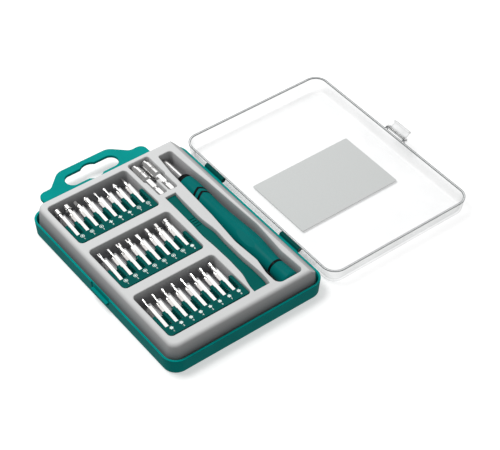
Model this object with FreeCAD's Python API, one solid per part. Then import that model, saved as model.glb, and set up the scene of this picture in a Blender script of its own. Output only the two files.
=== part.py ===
import FreeCAD, Part

import math
import os

from FreeCAD import Rotation, Vector

# Precision screwdriver set in a hinged hard case, standing open on a table. Millimetres.
# X runs along the case (carry tab at -X), Y from the latch side to the hinge side, Z up.
# The origin is the middle of the case's floor. The lid is open flat, face down, beside the base.

# ---- case ----
CASE_LENGTH = 160.0
CASE_WIDTH = 119.0
CASE_CORNER = 10.0
BASE_HEIGHT = 11.6
BASE_FLOOR = 1.6
BASE_DRAFT = 0.9
BASE_EDGE = 1.2
CASE_WALL = 1.4
LID_HEIGHT = 11.8
LID_TOP = 1.3
LID_DRAFT = 1.7
LID_EDGE = 2.2
SEAM = 0.15

# ---- hinge: two pairs of knuckles outside the +Y wall ----
HINGE_OFFSET = 2.0
KNUCKLE_RADIUS = 1.75
PEG_RADIUS = 0.85
PEG_LENGTH = 9.0
PEG_CLEARANCE = 0.06
KNUCKLE_GAP = 0.25
KNUCKLE_SEAM_X = 50.0
BASE_KNUCKLE = 19.0
LID_KNUCKLE = 14.5

# ---- latch: a clip on a pin at the lid's front edge, and a catch lip on the base ----
LATCH_X = 3.0
LATCH_WIDTH = 15.0
LATCH_PIN_OFFSET = 1.9
LATCH_PIN_DROP = 1.0
LATCH_PIN_RADIUS = 0.7
LATCH_LUG_RADIUS = 1.6
LATCH_LUG_WIDTH = 1.8
LATCH_THICKNESS = 1.1
LATCH_GAP = 0.3
LATCH_OPEN_DEG = 55.0
CATCH_WIDTH = 17.0
CATCH_TOP = 7.8
CATCH_HEIGHT = 1.7
CATCH_REACH = 1.2
CATCH_CHAMFER = 0.5
HOOK_FOOT = 1.2
RECESS_WIDTH = 19.5
RECESS_DEPTH = 0.7

# ---- carry tab at the -X end ----
TAB_Y = -2.5
TAB_THICKNESS = 2.4
TAB_REACH = 24.0
TAB_NECK = 13.3
TAB_HALF_ROOT = 42.0
TAB_HALF_NECK = 31.5
TAB_HALF_END = 20.0
TAB_ROUND = 5.0
TAB_END_ROUND = 9.0
TAB_EDGE = 0.6
SLOT_X = 12.0
SLOT_HALF_LENGTH = 20.4
SLOT_HALF_WIDTH = 5.6
SLOT_EYE_RADIUS = 7.9

# ---- insert tray ----
TRAY_TOP = 21.9
TRAY_SIDE_GAP = 0.25
TRAY_DRAFT = 1.5
TRAY_SKIN = 1.2
TRAY_EDGE = 2.8
SHOULDER_MARGIN = 1.1
SHOULDER_DEG = 47.0
MOUTH_EDGE = 0.7
PRY_MOUTH_EDGE = 0.5
POCKET_CORNER = 3.0

# ---- rack pockets ----
RACK_COUNT = 3
RACK_POCKET_LENGTH = 40.8
RACK_POCKET_WIDTH = 61.0
RACK_POCKET_Y = -21.0
RACK_PARTITION = 7.6
RACK_ROW_X = -1.0
RACK_POCKET_FLOOR = 6.0
RIB_WIDTH = 2.2
RIB_TOP = 14.0
RIB_LENGTH = 13.0
RIB_START = 5.0

# ---- bit racks ----
BITS_PER_RACK = 8
BIT_PITCH = 7.2
RACK_END_GAP = 1.2
RACK_LIFT = 0.2
RACK_TOP = 20.8
BAR_DEPTH = 9.3
FINGER_LENGTH = 9.8
FINGER_WIDTH = 2.2
FINGER_EDGE = 0.4
FINGER_NOSE = 1.0
RACK_CORNER = 1.5
BIT_SINK = 1.0

# ---- bits: 4 mm hexagon drive ----
BIT_ACROSS_FLATS = 4.0
BIT_LENGTH = 28.0
BIT_TIP_LENGTH = 7.0
BIT_SHOULDER = 0.8
BIT_TILT_DEG = 6.0
BIT_AXIS_Z = 17.0
BIT_CLEARANCE = 0.15
GROOVE_FLATS = 0.5

# ---- two bit adapters ----
ADAPTER_LENGTH = 34.0
ADAPTER_HEAD = 3.55
ADAPTER_NOSE = 2.6
ADAPTER_HEAD_LENGTH = 17.0
ADAPTER_SHANK_FLATS = 5.0
ADAPTER_Z = 17.8
ADAPTER_FIRST_Y = 16.9
ADAPTER_PITCH = 8.2
ADAPTER_X = -71.0
ADAPTER_GROOVE = 0.35
ADAPTER_RING = 0.3
ADAPTER_NOTCH = 2.4
ADAPTER_NOTCH_START = 9.0
ADAPTER_CORNERS = (2.0, 0.9, 0.6, 1.2, 1.2, 0.82, 0.82, 1.2, 1.2, 0.6, 0.9, 2.0)
SOCKET_CLEARANCE = 0.12
SOCKET_DEPTH = 9.0
MAGNET_RADIUS = 1.6
MAGNET_LENGTH = 2.5

# ---- handle of the driver ----
DRIVER_Y = 38.4
DRIVER_Z = 14.6
DRIVER_START = -66.0
SHAFT_RADIUS = 2.75
SHAFT_LENGTH = 46.0
COLLAR_START = -45.5
COLLAR_LENGTH = 4.5
COLLAR_RADIUS = 5.5
COLLAR_NOSE_RADIUS = 4.3
GRIP_START_RADIUS = 5.8
GRIP_NOSE_RADIUS = 6.3
GRIP_WAIST_RADIUS = 5.7
GRIP_MAX_RADIUS = 7.2
GRIP_REAR_RADIUS = 5.6
GRIP_LENGTH = 94.8
GRIP_SHOULDER = 7.0
GRIP_WAIST = 32.0
GRIP_BELLY = 71.0
GRIP_STATIONS = 30
BAND_STARTS = (-27.6, -23.2)
BAND_WIDTH = 1.8
BAND_DEPTH = 0.6
BAND_SWEEP = 3.4
BAND_PROUD = 0.02
GRIP_FLATS = 6
GRIP_FLAT_DEPTH = 0.5
GRIP_FLAT_START = 4.0
GRIP_FLAT_END = 52.0
RING_WIDTH = 1.6
CAP_LENGTH = 15.0
CAP_NECK_RADIUS = 5.7
CAP_RADIUS = 6.35
CAP_ROUND = 2.5
CAP_GAP = 0.2
PIVOT_RADIUS = 1.5
PIVOT_LENGTH = 17.0
PIVOT_CLEARANCE = 0.05
POCKET_CLEARANCE = 0.35
FINGER_ROOM = 4.2
POCKET_BULGE = 2.2
SHAFT_ROOM = 1.2
COLLAR_ROOM = 0.6
HANDLE_CORNERS = (1.5, 6.0, 20.0, 40.0, 30.0, 12.0, 8.0, 4.5, 3.0, 25.0, 40.0, 20.0, 6.0, 2.5)

# ---- pry tool ----
PRY_START = -31.6
PRY_END = 67.8
PRY_Y = 18.7
PRY_TOP = 20.4
PRY_THICKNESS = 6.8
PRY_FLOOR_GAP = 0.3
PRY_STATIONS = 14
PRY_SECTIONS = 40
PRY_ROUND = 0.42
PRY_RINGS = 4
PRY_RING_START = 24.0
PRY_RING_DEPTH = 0.4
PRY_RING_WIDTH = 1.1
PRY_RING_PITCH = 2.5
# Half widths of the pry tool's -Y and +Y flanks, then its underside and top above its lowest
# point, each as (share of the length from the blade, size).
PRY_LOW_FLANK = ((0.0, 3.1), (0.14, 3.2), (0.24, 3.4), (0.33, 3.6), (0.42, 4.3), (0.55, 3.7),
                 (0.72, 3.5), (0.84, 4.4), (0.93, 6.3), (1.0, 7.2))
PRY_HIGH_FLANK = ((0.0, 4.4), (0.1, 3.9), (0.22, 3.6), (0.33, 3.7), (0.42, 5.0), (0.55, 4.3),
                  (0.72, 4.1), (0.84, 4.8), (0.93, 4.9), (1.0, 3.9))
PRY_UNDERSIDE = ((0.0, 4.2), (0.14, 2.6), (0.26, 0.4), (0.72, 0.2), (1.0, 2.0))
PRY_UPPER_SIDE = ((0.0, 6.4), (0.1, 6.0), (0.2, 5.8), (0.3, 6.5), (0.42, 6.8), (0.72, 6.3), (1.0, 4.4))

# ---- blank card in the lid ----
CARD_LENGTH = 53.5
CARD_WIDTH = 81.5
CARD_X = 3.5
CARD_OFF_CENTRE = -2.0
CARD_CORNER = 0.8
CARD_THICKNESS = 0.3

# ---- derived ----
HALF_LENGTH = CASE_LENGTH / 2
HALF_WIDTH = CASE_WIDTH / 2
HINGE_Y = HALF_WIDTH + HINGE_OFFSET
HINGE_Z = (LID_HEIGHT + BASE_HEIGHT + SEAM) / 2
LID_RIM = BASE_HEIGHT + SEAM
OPEN_LID_Y = 2 * HINGE_Y
TRAY_INSET = CASE_WALL + BASE_DRAFT + TRAY_SIDE_GAP
RACK_PITCH_X = RACK_POCKET_LENGTH + RACK_PARTITION
FIRST_RACK_X = RACK_ROW_X - RACK_PITCH_X * (RACK_COUNT - 1) / 2 - RACK_POCKET_LENGTH / 2
RACK_SPAN = BIT_PITCH * BITS_PER_RACK + FINGER_WIDTH
GRIP_START = COLLAR_START + COLLAR_LENGTH
GRIP_END = GRIP_START + GRIP_LENGTH
CAP_START = GRIP_END + RING_WIDTH + CAP_GAP
LATCH_PIN_Y = -HALF_WIDTH - LATCH_PIN_OFFSET
LATCH_PIN_Z = LID_RIM - LATCH_PIN_DROP
HANDLE_HALF = GRIP_MAX_RADIUS + POCKET_CLEARANCE
SHOULDER_Y = DRIVER_Y + HANDLE_HALF + POCKET_BULGE + SHOULDER_MARGIN

X_AXIS = Vector(1, 0, 0)
Y_AXIS = Vector(0, 1, 0)


# ---- shape helpers ----
def box(low, high):
    size = [b - a for a, b in zip(low, high)]
    return Part.makeBox(size[0], size[1], size[2], Vector(*low))


def rounded_wire(points, radii, z):
    """Closed wire at height z through the points, each corner rounded by its own radius."""
    corners = []
    for i, (x, y) in enumerate(points):
        here = Vector(x, y, z)
        before = Vector(*points[i - 1], z) - here
        after = Vector(*points[(i + 1) % len(points)], z) - here
        before.normalize()
        after.normalize()
        radius = radii[i] if isinstance(radii, (list, tuple)) else radii
        if radius <= 0:
            corners.append((here, None, here))
            continue
        half = before.getAngle(after) / 2
        reach = radius / math.tan(half)
        inward = before + after
        inward.normalize()
        middle = here + inward * (radius / math.sin(half) - radius)
        corners.append((here + before * reach, middle, here + after * reach))
    edges = []
    for i, (start, middle, end) in enumerate(corners):
        if middle is not None:
            edges.append(Part.Arc(start, middle, end).toShape())
        following = corners[(i + 1) % len(corners)][0]
        if end.distanceToPoint(following) > 1e-6:
            edges.append(Part.LineSegment(end, following).toShape())
    return Part.Wire(edges)


def rectangle(half_x, half_y, centre=(0.0, 0.0)):
    cx, cy = centre
    return [
        (cx - half_x, cy - half_y),
        (cx + half_x, cy - half_y),
        (cx + half_x, cy + half_y),
        (cx - half_x, cy + half_y),
    ]


def case_outline(inset, z):
    return rounded_wire(
        rectangle(HALF_LENGTH - inset, HALF_WIDTH - inset), CASE_CORNER - inset, z)


def drafted(low_inset, low_z, high_inset, high_z):
    """Solid between two case outlines, inset by different amounts at its two heights."""
    wires = [case_outline(low_inset, low_z), case_outline(high_inset, high_z)]
    return Part.makeLoft(wires, True, True)


def prism(wire, height):
    return Part.Face(wire).extrude(Vector(0, 0, height))


def edges_at(shape, z, tolerance=1e-3):
    found = []
    for edge in shape.Edges:
        box_ = edge.BoundBox
        if abs(box_.ZMin - z) < tolerance and abs(box_.ZMax - z) < tolerance:
            found.append(edge)
    return found


def along_x(profile, start_x=0.0):
    """Solid of revolution about X from (x, radius) pairs, closed on the axis."""
    points = [Vector(start_x + x, 0, r) for x, r in profile]
    first = Vector(points[0].x, 0, 0)
    last = Vector(points[-1].x, 0, 0)
    wire = Part.makePolygon([first] + points + [last, first])
    return Part.Face(wire).revolve(Vector(0, 0, 0), X_AXIS, 360)


def rod(radius, x_start, x_end):
    return Part.makeCylinder(radius, x_end - x_start, Vector(x_start, 0, 0), X_AXIS)


def regular_prism(sides, circumradius, x_start, x_end, turn_deg=0.0):
    points = []
    for i in range(sides + 1):
        angle = math.radians(turn_deg + 360.0 * i / sides)
        points.append(Vector(x_start, circumradius * math.cos(angle), circumradius * math.sin(angle)))
    return Part.Face(Part.makePolygon(points)).extrude(Vector(x_end - x_start, 0, 0))


def hexagon(flats, x_start, x_end):
    return regular_prism(6, flats / math.sqrt(3), x_start, x_end)


def star_prism(points_, outer, inner, x_start, x_end):
    ring = []
    for i in range(2 * points_ + 1):
        angle = math.pi * i / points_
        radius = outer if i % 2 == 0 else inner
        ring.append(Vector(x_start, radius * math.cos(angle), radius * math.sin(angle)))
    return Part.Face(Part.makePolygon(ring)).extrude(Vector(x_end - x_start, 0, 0))


def place(shape, offset):
    moved = shape.copy()
    moved.translate(Vector(*offset))
    return moved


def opened(shape):
    """Turn a shape modelled with the lid shut to its place with the lid open flat."""
    turned = shape.copy()
    turned.rotate(Vector(0, HINGE_Y, HINGE_Z), X_AXIS, -180)
    return turned


# ---- base ----
def catch_recess():
    front = -HALF_WIDTH
    return box(
        (LATCH_X - RECESS_WIDTH / 2, front - 1.0, CATCH_TOP - CATCH_HEIGHT),
        (LATCH_X + RECESS_WIDTH / 2, front + RECESS_DEPTH, BASE_HEIGHT + 1.0))


def catch_lip():
    """Small wedge that the clip hooks under, standing out of the recess."""
    inner = -HALF_WIDTH + CASE_WALL
    outer = -HALF_WIDTH - CATCH_REACH
    low = CATCH_TOP - CATCH_HEIGHT
    cut = CATCH_CHAMFER
    profile = [(inner, low), (outer + cut, low), (outer, low + cut), (outer, CATCH_TOP - cut),
               (outer + cut, CATCH_TOP), (inner, CATCH_TOP)]
    start = LATCH_X - CATCH_WIDTH / 2
    points = [Vector(start, y, z) for y, z in profile]
    return Part.Face(Part.makePolygon(points + points[:1])).extrude(Vector(CATCH_WIDTH, 0, 0))


def tab_points():
    root_x = -HALF_LENGTH + CASE_WALL
    neck_x = -HALF_LENGTH - TAB_NECK
    end_x = -HALF_LENGTH - TAB_REACH
    return [
        (root_x, TAB_Y - TAB_HALF_ROOT),
        (root_x, TAB_Y + TAB_HALF_ROOT),
        (neck_x, TAB_Y + TAB_HALF_ROOT),
        (neck_x, TAB_Y + TAB_HALF_NECK),
        (end_x, TAB_Y + TAB_HALF_END),
        (end_x, TAB_Y - TAB_HALF_END),
        (neck_x, TAB_Y - TAB_HALF_NECK),
        (neck_x, TAB_Y - TAB_HALF_ROOT),
    ]


def carry_tab():
    low = BASE_HEIGHT - TAB_THICKNESS
    radii = [0, 0, TAB_ROUND, TAB_ROUND, TAB_END_ROUND, TAB_END_ROUND, TAB_ROUND, TAB_ROUND]
    plate = prism(rounded_wire(tab_points(), radii, low), TAB_THICKNESS)
    centre = (-HALF_LENGTH - SLOT_X, TAB_Y)
    slot = prism(rounded_wire(
        rectangle(SLOT_HALF_WIDTH, SLOT_HALF_LENGTH, centre), SLOT_HALF_WIDTH - 0.05, low), TAB_THICKNESS)
    eye = Part.makeCylinder(SLOT_EYE_RADIUS, TAB_THICKNESS, Vector(centre[0], centre[1], low))
    plate = plate.cut(slot.fuse(eye)).removeSplitter()
    flat_edges = edges_at(plate, low) + edges_at(plate, BASE_HEIGHT)
    rim = [edge for edge in flat_edges if edge.BoundBox.XMax < -HALF_LENGTH - 0.1]
    return plate.makeFillet(TAB_EDGE, rim)


def knuckle_block(x_start, x_end, wall_y, low_z, high_z):
    """Barrel round the hinge axis with a root that reaches the wall beside it."""
    length = x_end - x_start
    barrel = Part.makeCylinder(KNUCKLE_RADIUS, length, Vector(x_start, HINGE_Y, HINGE_Z), X_AXIS)
    near, far = sorted((wall_y, HINGE_Y))
    return barrel.fuse(box((x_start, near, low_z), (x_end, far, high_z)))


def base_knuckle(side):
    ends = sorted((side * (KNUCKLE_SEAM_X - KNUCKLE_GAP), side * (KNUCKLE_SEAM_X - BASE_KNUCKLE)))
    wall = HALF_WIDTH - CASE_WALL / 2
    block = knuckle_block(ends[0], ends[1], wall, HINGE_Z - KNUCKLE_RADIUS, BASE_HEIGHT)
    bore_start = side * KNUCKLE_SEAM_X
    bore_end = side * (KNUCKLE_SEAM_X - PEG_LENGTH - KNUCKLE_GAP)
    low, high = sorted((bore_start, bore_end))
    bore = Part.makeCylinder(
        PEG_RADIUS + PEG_CLEARANCE, high - low, Vector(low, HINGE_Y, HINGE_Z), X_AXIS)
    return block, bore


def base_tray():
    outer = drafted(BASE_DRAFT, 0.0, 0.0, BASE_HEIGHT)
    outer = outer.makeFillet(BASE_EDGE, edges_at(outer, 0.0))
    floor_inset = BASE_DRAFT * (1 - BASE_FLOOR / BASE_HEIGHT) + CASE_WALL
    cavity = drafted(floor_inset, BASE_FLOOR, CASE_WALL, BASE_HEIGHT)
    body = outer.cut(catch_recess())
    body = body.fuse(catch_lip())
    body = body.fuse(carry_tab())
    bores = []
    for side in (-1, 1):
        block, bore = base_knuckle(side)
        body = body.fuse(block)
        bores.append(bore)
    body = body.cut(cavity)
    for bore in bores:
        body = body.cut(bore)
    return body.removeSplitter()


# ---- lid, clip and card ----
def lid_knuckle(side):
    ends = sorted((side * KNUCKLE_SEAM_X, side * (KNUCKLE_SEAM_X + LID_KNUCKLE)))
    wall = HALF_WIDTH - CASE_WALL / 2
    block = knuckle_block(ends[0], ends[1], wall, LID_RIM, HINGE_Z + KNUCKLE_RADIUS)
    peg_ends = sorted((side * (KNUCKLE_SEAM_X + 1.0), side * (KNUCKLE_SEAM_X - PEG_LENGTH)))
    peg = Part.makeCylinder(
        PEG_RADIUS, peg_ends[1] - peg_ends[0], Vector(peg_ends[0], HINGE_Y, HINGE_Z), X_AXIS)
    return block.fuse(peg)


def latch_lug(x_start):
    """Lug that holds one end of the clip's pin, reaching out of the lid's front wall."""
    lug = Part.makeCylinder(
        LATCH_LUG_RADIUS, LATCH_LUG_WIDTH, Vector(x_start, LATCH_PIN_Y, LATCH_PIN_Z), X_AXIS)
    arm = box(
        (x_start, LATCH_PIN_Y - LATCH_LUG_RADIUS, LATCH_PIN_Z),
        (x_start + LATCH_LUG_WIDTH, -HALF_WIDTH + CASE_WALL / 2, LID_RIM + 1.4))
    return lug.fuse(arm)


def lid():
    top = LID_RIM + LID_HEIGHT
    outer = drafted(0.0, LID_RIM, LID_DRAFT, top)
    outer = outer.makeFillet(LID_EDGE, edges_at(outer, top))
    ceiling = top - LID_TOP
    ceiling_inset = LID_DRAFT * (ceiling - LID_RIM) / LID_HEIGHT + CASE_WALL
    cavity = drafted(CASE_WALL, LID_RIM, ceiling_inset, ceiling)
    cavity = cavity.makeFillet(LID_EDGE - LID_TOP, edges_at(cavity, ceiling))
    for side in (-1, 1):
        outer = outer.fuse(lid_knuckle(side))
    lug_gap = LATCH_WIDTH / 2 + LATCH_GAP
    for start in (LATCH_X - lug_gap - LATCH_LUG_WIDTH, LATCH_X + lug_gap):
        outer = outer.fuse(latch_lug(start))
    body = outer.cut(cavity)
    pin_hole = Part.makeCylinder(
        LATCH_PIN_RADIUS, LATCH_WIDTH + 2 * (LATCH_GAP + LATCH_LUG_WIDTH),
        Vector(LATCH_X - lug_gap - LATCH_LUG_WIDTH, LATCH_PIN_Y, LATCH_PIN_Z), X_AXIS)
    return opened(body.cut(pin_hole).removeSplitter())


def latch_pin():
    reach = LATCH_WIDTH / 2 + LATCH_GAP + LATCH_LUG_WIDTH
    return opened(Part.makeCylinder(
        LATCH_PIN_RADIUS, 2 * reach, Vector(LATCH_X - reach, LATCH_PIN_Y, LATCH_PIN_Z), X_AXIS))


def latch_clip():
    """Clip shut under the catch lip, then swung out to its open place about its pin."""
    start = LATCH_X - LATCH_WIDTH / 2
    barrel = Part.makeCylinder(
        LATCH_LUG_RADIUS - 0.1, LATCH_WIDTH, Vector(start, LATCH_PIN_Y, LATCH_PIN_Z), X_AXIS)
    outer = LATCH_PIN_Y - LATCH_LUG_RADIUS + 0.1
    inner = outer + LATCH_THICKNESS
    hook_top = CATCH_TOP - CATCH_HEIGHT - LATCH_GAP
    hook_inner = -HALF_WIDTH - LATCH_GAP
    foot = hook_top - HOOK_FOOT
    profile = [
        (inner, LATCH_PIN_Z), (outer, LATCH_PIN_Z), (outer, foot + 0.6), (outer - 0.8, foot - 0.4),
        (outer + 0.3, foot - 0.4), (hook_inner - 0.3, foot), (hook_inner, hook_top),
        (inner, hook_top),
    ]
    points = [Vector(start, y, z) for y, z in profile]
    plate = Part.Face(Part.makePolygon(points + points[:1])).extrude(Vector(LATCH_WIDTH, 0, 0))
    hole = Part.makeCylinder(
        LATCH_PIN_RADIUS + PEG_CLEARANCE, LATCH_WIDTH, Vector(start, LATCH_PIN_Y, LATCH_PIN_Z), X_AXIS)
    clip = barrel.fuse(plate).cut(hole).removeSplitter()
    clip.rotate(Vector(0, LATCH_PIN_Y, LATCH_PIN_Z), X_AXIS, -LATCH_OPEN_DEG)
    return opened(clip)


def label_card():
    """Card lying on the inside of the lid's top, which is its floor when it is open."""
    floor = 2 * HINGE_Z - LID_RIM - LID_HEIGHT + LID_TOP
    centre = (CARD_X, OPEN_LID_Y + CARD_OFF_CENTRE)
    outline = rectangle(CARD_LENGTH / 2, CARD_WIDTH / 2, centre)
    return prism(rounded_wire(outline, CARD_CORNER, floor), CARD_THICKNESS)


# ---- insert tray ----
def rack_origin(index):
    return FIRST_RACK_X + index * RACK_PITCH_X


def rack_pocket_points(index):
    centre = (rack_origin(index) + RACK_POCKET_LENGTH / 2, RACK_POCKET_Y)
    return rectangle(RACK_POCKET_LENGTH / 2, RACK_POCKET_WIDTH / 2, centre)


def handle_pocket_points():
    """The driver's pocket: room for a fingertip on its -Y side and a gentle bulge on its +Y side."""
    start = DRIVER_START - SHAFT_ROOM
    end = CAP_START + CAP_LENGTH + SHAFT_ROOM
    beside_shaft = SHAFT_RADIUS + SHAFT_ROOM
    beside_collar = COLLAR_RADIUS + COLLAR_ROOM
    nose = GRIP_NOSE_RADIUS + POCKET_CLEARANCE
    roomy = HANDLE_HALF + FINGER_ROOM
    low_side = [
        (start, beside_shaft),
        (COLLAR_START - 4.0, beside_collar),
        (GRIP_START + 6.0, nose),
        (GRIP_START + 40.0, HANDLE_HALF + 0.15 * FINGER_ROOM),
        (GRIP_START + 68.0, HANDLE_HALF + 0.75 * FINGER_ROOM),
        (GRIP_END - 6.0, HANDLE_HALF + 0.45 * FINGER_ROOM),
        (GRIP_END + 6.0, roomy),
        (end, roomy),
    ]
    high_side = [
        (end, HANDLE_HALF + 0.6),
        (GRIP_END - 3.0, HANDLE_HALF - 0.3),
        (GRIP_START + GRIP_BELLY - 7.0, HANDLE_HALF + POCKET_BULGE),
        (GRIP_START + 12.0, HANDLE_HALF + 0.5),
        (GRIP_START - 1.5, beside_collar + 0.9),
        (start, beside_collar),
    ]
    points = [(x, DRIVER_Y - y) for x, y in low_side]
    return points + [(x, DRIVER_Y + y) for x, y in high_side]


def eased(knots, share):
    """Value at a share of the length, eased between the (share, value) knots."""
    for (s0, v0), (s1, v1) in zip(knots, knots[1:]):
        if share <= s1:
            t = (share - s0) / (s1 - s0)
            return v0 + (v1 - v0) * t * t * (3 - 2 * t)
    return knots[-1][1]


def pry_share(x):
    return min(max((x - PRY_START) / (PRY_END - PRY_START), 0.0), 1.0)


def pry_outline(grow, z):
    """Closed outline of the pry tool, grown outwards by grow."""
    xs = [PRY_START - grow + (PRY_END - PRY_START + 2 * grow) * i / (PRY_STATIONS - 1)
          for i in range(PRY_STATIONS)]
    flanks = []
    for side, knots in ((-1, PRY_LOW_FLANK), (1, PRY_HIGH_FLANK)):
        row = [Vector(x, PRY_Y + side * (eased(knots, pry_share(x)) + grow), z) for x in xs]
        curve = Part.BSplineCurve()
        curve.interpolate(row)
        flanks.append((row, curve.toShape()))
    (low_row, low_edge), (high_row, high_edge) = flanks
    start = Part.LineSegment(low_row[0], high_row[0]).toShape()
    end = Part.LineSegment(low_row[-1], high_row[-1]).toShape()
    return Part.Wire([low_edge, end, high_edge, start])


def adapter_pocket_points():
    left = ADAPTER_FIRST_Y - ADAPTER_HEAD - POCKET_CLEARANCE - 0.4
    right = ADAPTER_FIRST_Y + ADAPTER_PITCH + ADAPTER_HEAD + POCKET_CLEARANCE
    start = ADAPTER_X - 0.8
    shank = ADAPTER_SHANK_FLATS / math.sqrt(3) + POCKET_CLEARANCE
    neck = ADAPTER_X + ADAPTER_HEAD_LENGTH + 2.0
    end = ADAPTER_X + ADAPTER_LENGTH + 0.8
    second = ADAPTER_FIRST_Y + ADAPTER_PITCH
    return [
        (start, left), (neck, left), (neck + 1.5, ADAPTER_FIRST_Y - shank),
        (end, ADAPTER_FIRST_Y - shank), (end, ADAPTER_FIRST_Y + shank),
        (neck + 3.0, ADAPTER_FIRST_Y + shank), (neck + 3.0, second - shank),
        (end, second - shank), (end, second + shank), (neck + 1.5, second + shank),
        (neck, right), (start, right),
    ]


def offset_wire(wire, grow):
    if grow == 0:
        return wire
    return wire.makeOffset2D(grow)


def pockets(grow):
    """Every pocket as a prism from its floor to above the tray, its walls moved out by grow."""
    shapes = []
    handle_floor = DRIVER_Z - GRIP_MAX_RADIUS - POCKET_CLEARANCE
    adapter_floor = ADAPTER_Z - ADAPTER_HEAD - 0.2
    pry_floor = PRY_TOP - PRY_THICKNESS - PRY_FLOOR_GAP
    rows = [(rounded_wire(rack_pocket_points(i), POCKET_CORNER, 0), RACK_POCKET_FLOOR)
            for i in range(RACK_COUNT)]
    rows.append((rounded_wire(handle_pocket_points(), HANDLE_CORNERS, 0), handle_floor))
    rows.append((rounded_wire(adapter_pocket_points(), ADAPTER_CORNERS, 0), adapter_floor))
    outlines = [(offset_wire(wire, grow), floor) for wire, floor in rows]
    outlines.append((pry_outline(POCKET_CLEARANCE + grow, 0), pry_floor))
    for wire, floor in outlines:
        low = floor - grow
        solid = prism(wire, TRAY_TOP - low + (0 if grow else 1.0))
        shapes.append(place(solid, (0, 0, low)))
    return shapes


def rack_ribs(index):
    """Low ribs between the bits, standing on the pocket's floor under their tips."""
    x0 = rack_origin(index) + RIB_START
    first = RACK_POCKET_Y - BIT_PITCH * BITS_PER_RACK / 2
    ribs = []
    for i in range(BITS_PER_RACK + 1):
        y = first + i * BIT_PITCH
        low = (x0, y - RIB_WIDTH / 2, RACK_POCKET_FLOOR - 0.1)
        ribs.append(box(low, (x0 + RIB_LENGTH, y + RIB_WIDTH / 2, RIB_TOP)))
    return ribs


def mouth_edges(body, pocket):
    reach = pocket.BoundBox
    reach.enlarge(0.01)
    return [e for e in edges_at(body, TRAY_TOP) if reach.isInside(e.BoundBox)]


def shoulder(drop):
    """Wedge above the insert's sloping +Y shoulder, lowered by drop."""
    top = TRAY_TOP - drop
    run = HALF_WIDTH - SHOULDER_Y
    fall = run * math.tan(math.radians(SHOULDER_DEG))
    rise = TRAY_EDGE + drop
    near, far = SHOULDER_Y, HALF_WIDTH
    corners = [(near, top), (far, top - fall), (far, top + rise), (near, top + rise)]
    points = [Vector(-HALF_LENGTH, y, z) for y, z in corners]
    return Part.Face(Part.makePolygon(points + points[:1])).extrude(Vector(CASE_LENGTH, 0, 0))


def insert_tray():
    inset = TRAY_INSET
    body = drafted(inset, BASE_FLOOR, inset + TRAY_DRAFT, TRAY_TOP)
    body = body.makeFillet(TRAY_EDGE, edges_at(body, TRAY_TOP)).cut(shoulder(0.0))
    cutters = pockets(0)
    for pocket in cutters:
        body = body.cut(pocket)
        edge = PRY_MOUTH_EDGE if pocket is cutters[-1] else MOUTH_EDGE
        body = body.makeFillet(edge, mouth_edges(body, pocket))
    hollow = drafted(
        inset + TRAY_SKIN, BASE_FLOOR, inset + TRAY_DRAFT + TRAY_SKIN, TRAY_TOP - TRAY_SKIN)
    hollow = hollow.cut(shoulder(TRAY_SKIN / math.cos(math.radians(SHOULDER_DEG))))
    for tub in pockets(TRAY_SKIN):
        hollow = hollow.cut(tub)
    body = body.cut(hollow)
    ribs = [rib for index in range(RACK_COUNT) for rib in rack_ribs(index)]
    return body.multiFuse(ribs).removeSplitter()


# ---- bits ----
def shank(radius_at_neck):
    across = BIT_ACROSS_FLATS
    body = hexagon(across, BIT_TIP_LENGTH, BIT_LENGTH)
    corner = across / math.sqrt(3)
    envelope = along_x([
        (BIT_TIP_LENGTH, radius_at_neck), (BIT_TIP_LENGTH + BIT_SHOULDER, corner),
        (BIT_LENGTH - 0.4, corner), (BIT_LENGTH, corner - 0.4)])
    return body.common(envelope)


def neck(radius, tip_radius, start):
    return along_x([(start, tip_radius), (start + 1.2, radius), (BIT_TIP_LENGTH + 0.3, radius)])


def star_tip(radius, points_=6):
    lobe = star_prism(points_, radius, radius * 0.74, 0.0, 2.6)
    lobe = lobe.common(along_x([(0.0, radius * 0.8), (0.4, radius), (2.6, radius)]))
    return lobe.fuse(neck(radius * 1.08, radius * 0.9, 2.4))


def cross_tip(radius):
    cone = along_x([(0.0, radius * 0.28), (radius * 1.3, radius), (3.4, radius)])
    for i in range(4):
        groove = box((-0.1, radius * 0.16, radius * 0.16), (2.6, radius * 2, radius * 2))
        groove.rotate(Vector(0, 0, 0), X_AXIS, 90 * i)
        cone = cone.cut(groove)
    return cone.fuse(neck(radius, radius, 3.0))


def blade_tip(width, thickness):
    half = width / 2
    cylinder = along_x([(0.0, half), (3.4, half), (4.6, half * 0.9), (5.0, half * 0.9)])
    slab = box((-0.1, -half * 2, -thickness / 2), (3.2, half * 2, thickness / 2))
    stem = box((3.1, -half * 2, -half * 2), (5.1, half * 2, half * 2))
    return cylinder.common(slab.fuse(stem)).fuse(neck(half * 0.9, half * 0.9, 4.0))


def fork_tip(radius, gap):
    blade = blade_tip(radius * 2, radius * 0.9)
    return blade.cut(box((-0.1, -gap / 2, -radius), (1.8, gap / 2, radius)))


def prism_tip(sides, radius):
    point = regular_prism(sides, radius, 0.0, 3.4)
    return point.fuse(neck(radius, radius * 0.8, 3.0))


def nut_tip(radius, flats):
    head = along_x([(0.0, radius - 0.2), (0.2, radius), (3.6, radius), (4.2, radius * 0.62)])
    head = head.cut(hexagon(flats, -0.1, 2.4))
    return head.fuse(neck(radius * 0.62, radius * 0.62, 4.0))


def spear_tip(width):
    half = width / 2
    blade = along_x([(0.0, 0.12), (3.6, half), (4.6, half * 0.7), (5.0, half * 0.7)])
    slab = box((-0.1, -half * 2, -0.45), (4.2, half * 2, 0.45))
    stem = box((4.1, -half * 2, -half * 2), (5.1, half * 2, half * 2))
    return blade.common(slab.fuse(stem)).fuse(neck(half * 0.7, half * 0.7, 4.4))


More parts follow.
